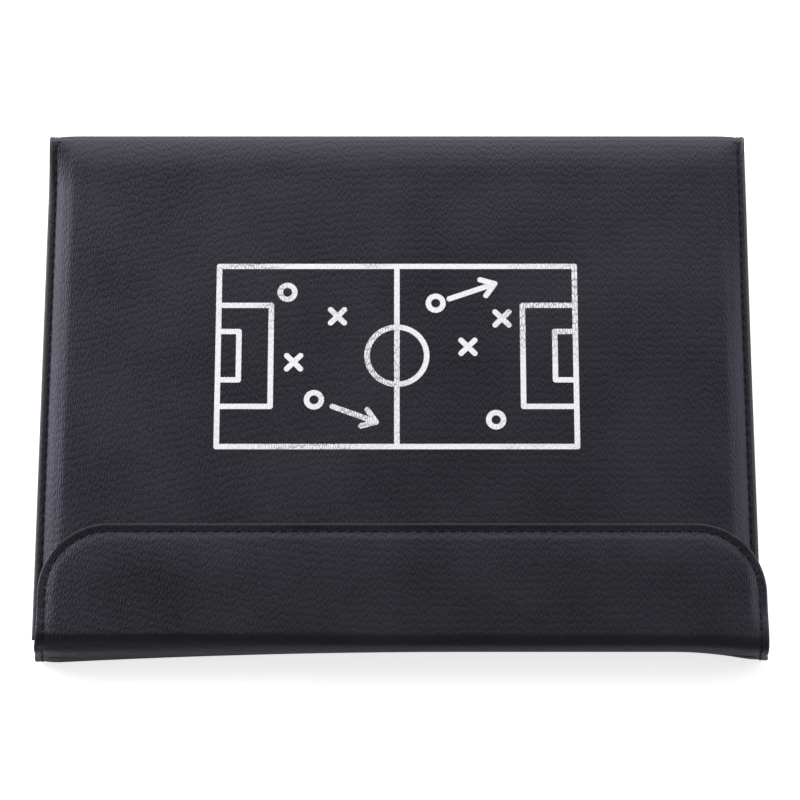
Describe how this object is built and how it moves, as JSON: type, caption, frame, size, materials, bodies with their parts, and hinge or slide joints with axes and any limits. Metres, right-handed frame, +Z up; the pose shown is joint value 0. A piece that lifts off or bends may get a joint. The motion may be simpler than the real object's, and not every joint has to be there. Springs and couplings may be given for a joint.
{
  "type": "tactics board",
  "caption": "Folding magnetic tactics board: a padded leather-look folder with a closing flap, a pitch on each inner panel, player discs and a marker pen.",
  "frame": {"origin": "middle of the flat face that the closed folder lies on", "axes": "+X along the creases to the right, +Y towards the far spine, +Z up out of the back panel"},
  "size_m": [0.3125, 0.235, 0.0224],
  "materials": {
    "leather": "black grained leather-look PU, semi-matt",
    "lining": "black fine-grained lining",
    "greyboard": "grey cardboard",
    "foam": "open-cell foam sheet",
    "steel": "thin rolled steel sheet",
    "pitch_film": "green printed dry-wipe film",
    "stiffener": "flexible plastic sheet",
    "magnet_strip": "flexible magnetic rubber",
    "elastic": "woven black elastic",
    "pen_body": "white polypropylene",
    "pen_colour": "black polypropylene",
    "felt": "pressed felt",
    "home_colour": "red disc",
    "away_colour": "blue disc",
    "ball_colour": "white disc"
  },
  "bodies": {
    "back_panel": {"back_skin": "leather", "back_board": "greyboard", "back_lining": "lining", "back_steel_sheet": "steel", "back_field_film": "pitch_film", "pen_loop": "elastic"},
    "far_spine": {"top_spine_skin": "leather", "top_spine_strip": "greyboard", "top_spine_lining": "lining"},
    "front_cover": {"cover_skin": "leather", "cover_foam": "foam", "cover_board": "greyboard", "cover_lining": "lining", "cover_steel_sheet": "steel", "cover_field_film": "pitch_film", "cover_keeper_strip": "steel"},
    "near_spine": {"bottom_spine_skin": "leather", "bottom_spine_strip": "stiffener", "bottom_spine_lining": "lining"},
    "closing_flap": {"flap_skin": "leather", "flap_stiffener": "stiffener", "flap_magnet_strip": "magnet_strip", "flap_lining": "lining"},
    "marker_pen": {"pen_barrel": "pen_body", "pen_reservoir": "felt", "pen_nib": "felt", "pen_end_plug": "pen_colour"},
    "marker_cap": {"pen_cap": "pen_colour", "cap_eraser": "felt"},
    "home_disc_1": {"home_magnet_1": "home_colour"},
    "home_disc_2": {"home_magnet_2": "home_colour"},
    "home_disc_3": {"home_magnet_3": "home_colour"},
    "home_disc_4": {"home_magnet_4": "home_colour"},
    "home_disc_5": {"home_magnet_5": "home_colour"},
    "home_disc_6": {"home_magnet_6": "home_colour"},
    "home_disc_7": {"home_magnet_7": "home_colour"},
    "home_disc_8": {"home_magnet_8": "home_colour"},
    "home_disc_9": {"home_magnet_9": "home_colour"},
    "home_disc_10": {"home_magnet_10": "home_colour"},
    "home_disc_11": {"home_magnet_11": "home_colour"},
    "away_disc_1": {"away_magnet_1": "away_colour"},
    "away_disc_2": {"away_magnet_2": "away_colour"},
    "away_disc_3": {"away_magnet_3": "away_colour"},
    "away_disc_4": {"away_magnet_4": "away_colour"},
    "away_disc_5": {"away_magnet_5": "away_colour"},
    "away_disc_6": {"away_magnet_6": "away_colour"},
    "away_disc_7": {"away_magnet_7": "away_colour"},
    "away_disc_8": {"away_magnet_8": "away_colour"},
    "away_disc_9": {"away_magnet_9": "away_colour"},
    "away_disc_10": {"away_magnet_10": "away_colour"},
    "away_disc_11": {"away_magnet_11": "away_colour"},
    "ball_disc": {"ball_magnet": "ball_colour"}
  },
  "joints": [
    {"name": "cover_fold", "type": "hinge", "parent": "far_spine", "child": "front_cover", "pos_m": [0, 0.11643, 0.01893], "axis": [-1, 0, 0], "range_deg": [0, 90], "deforming": ["flap_skin", "flap_stiffener", "flap_magnet_strip", "flap_lining"]},
    {"name": "far_spine_fold", "type": "hinge", "parent": "back_panel", "child": "far_spine", "pos_m": [0, 0.11664, 0.00086], "axis": [-1, 0, 0], "range_deg": [0, 90]},
    {"name": "flap_fold", "type": "hinge", "parent": "near_spine", "child": "closing_flap", "pos_m": [0, -0.11578, 0.02068], "axis": [1, 0, 0], "range_deg": [0, 90]},
    {"name": "near_spine_fold", "type": "hinge", "parent": "back_panel", "child": "near_spine", "pos_m": [0, -0.11664, 0.00086], "axis": [1, 0, 0], "range_deg": [0, 90]},
    {"name": "pen_slide", "type": "slide", "parent": "back_panel", "child": "marker_pen", "axis": [0, 1, 0], "range_m": [0, 0.058]},
    {"name": "cap_slide", "type": "slide", "parent": "marker_pen", "child": "marker_cap", "axis": [0, -1, 0], "range_m": [0, 0.026]},
    {"name": "home_slide_1", "type": "slide", "parent": "back_panel", "child": "home_disc_1", "axis": [0, 1, 0], "range_m": [-0.002, 0.175]},
    {"name": "home_slide_2", "type": "slide", "parent": "back_panel", "child": "home_disc_2", "axis": [0, 1, 0], "range_m": [-0.046, 0.131]},
    {"name": "home_slide_3", "type": "slide", "parent": "back_panel", "child": "home_disc_3", "axis": [0, 1, 0], "range_m": [-0.046, 0.131]},
    {"name": "home_slide_4", "type": "slide", "parent": "back_panel", "child": "home_disc_4", "axis": [0, 1, 0], "range_m": [-0.04, 0.137]},
    {"name": "home_slide_5", "type": "slide", "parent": "back_panel", "child": "home_disc_5", "axis": [0, 1, 0], "range_m": [-0.04, 0.137]},
    {"name": "home_slide_6", "type": "slide", "parent": "back_panel", "child": "home_disc_6", "axis": [0, 1, 0], "range_m": [-0.086, 0.091]},
    {"name": "home_slide_7", "type": "slide", "parent": "back_panel", "child": "home_disc_7", "axis": [0, 1, 0], "range_m": [-0.092, 0.085]},
    {"name": "home_slide_8", "type": "slide", "parent": "back_panel", "child": "home_disc_8", "axis": [0, 1, 0], "range_m": [-0.086, 0.091]},
    {"name": "home_slide_9", "type": "slide", "parent": "back_panel", "child": "home_disc_9", "axis": [0, 1, 0], "range_m": [-0.152, 0.025]},
    {"name": "home_slide_10", "type": "slide", "parent": "back_panel", "child": "home_disc_10", "axis": [0, 1, 0], "range_m": [-0.152, 0.025]},
    {"name": "home_slide_11", "type": "slide", "parent": "back_panel", "child": "home_disc_11", "axis": [0, 1, 0], "range_m": [-0.092, 0.085]},
    {"name": "away_slide_1", "type": "slide", "parent": "front_cover", "child": "away_disc_1", "axis": [0, 1, 0], "range_m": [-0.002, 0.175]},
    {"name": "away_slide_2", "type": "slide", "parent": "front_cover", "child": "away_disc_2", "axis": [0, 1, 0], "range_m": [-0.046, 0.131]},
    {"name": "away_slide_3", "type": "slide", "parent": "front_cover", "child": "away_disc_3", "axis": [0, 1, 0], "range_m": [-0.046, 0.131]},
    {"name": "away_slide_4", "type": "slide", "parent": "front_cover", "child": "away_disc_4", "axis": [0, 1, 0], "range_m": [-0.04, 0.137]},
    {"name": "away_slide_5", "type": "slide", "parent": "front_cover", "child": "away_disc_5", "axis": [0, 1, 0], "range_m": [-0.04, 0.137]},
    {"name": "away_slide_6", "type": "slide", "parent": "front_cover", "child": "away_disc_6", "axis": [0, 1, 0], "range_m": [-0.086, 0.091]},
    {"name": "away_slide_7", "type": "slide", "parent": "front_cover", "child": "away_disc_7", "axis": [0, 1, 0], "range_m": [-0.092, 0.085]},
    {"name": "away_slide_8", "type": "slide", "parent": "front_cover", "child": "away_disc_8", "axis": [0, 1, 0], "range_m": [-0.086, 0.091]},
    {"name": "away_slide_9", "type": "slide", "parent": "front_cover", "child": "away_disc_9", "axis": [0, 1, 0], "range_m": [-0.152, 0.025]},
    {"name": "away_slide_10", "type": "slide", "parent": "front_cover", "child": "away_disc_10", "axis": [0, 1, 0], "range_m": [-0.152, 0.025]},
    {"name": "away_slide_11", "type": "slide", "parent": "front_cover", "child": "away_disc_11", "axis": [0, 1, 0], "range_m": [-0.092, 0.085]},
    {"name": "ball_slide", "type": "slide", "parent": "back_panel", "child": "ball_disc", "axis": [1, 0, 0], "range_m": [-0.12, 0.12]}
  ],
  "couplings": [
    {"joint": "far_spine_fold", "follows": "cover_fold", "ratio": 1},
    {"joint": "near_spine_fold", "follows": "flap_fold", "ratio": 1}
  ]
}
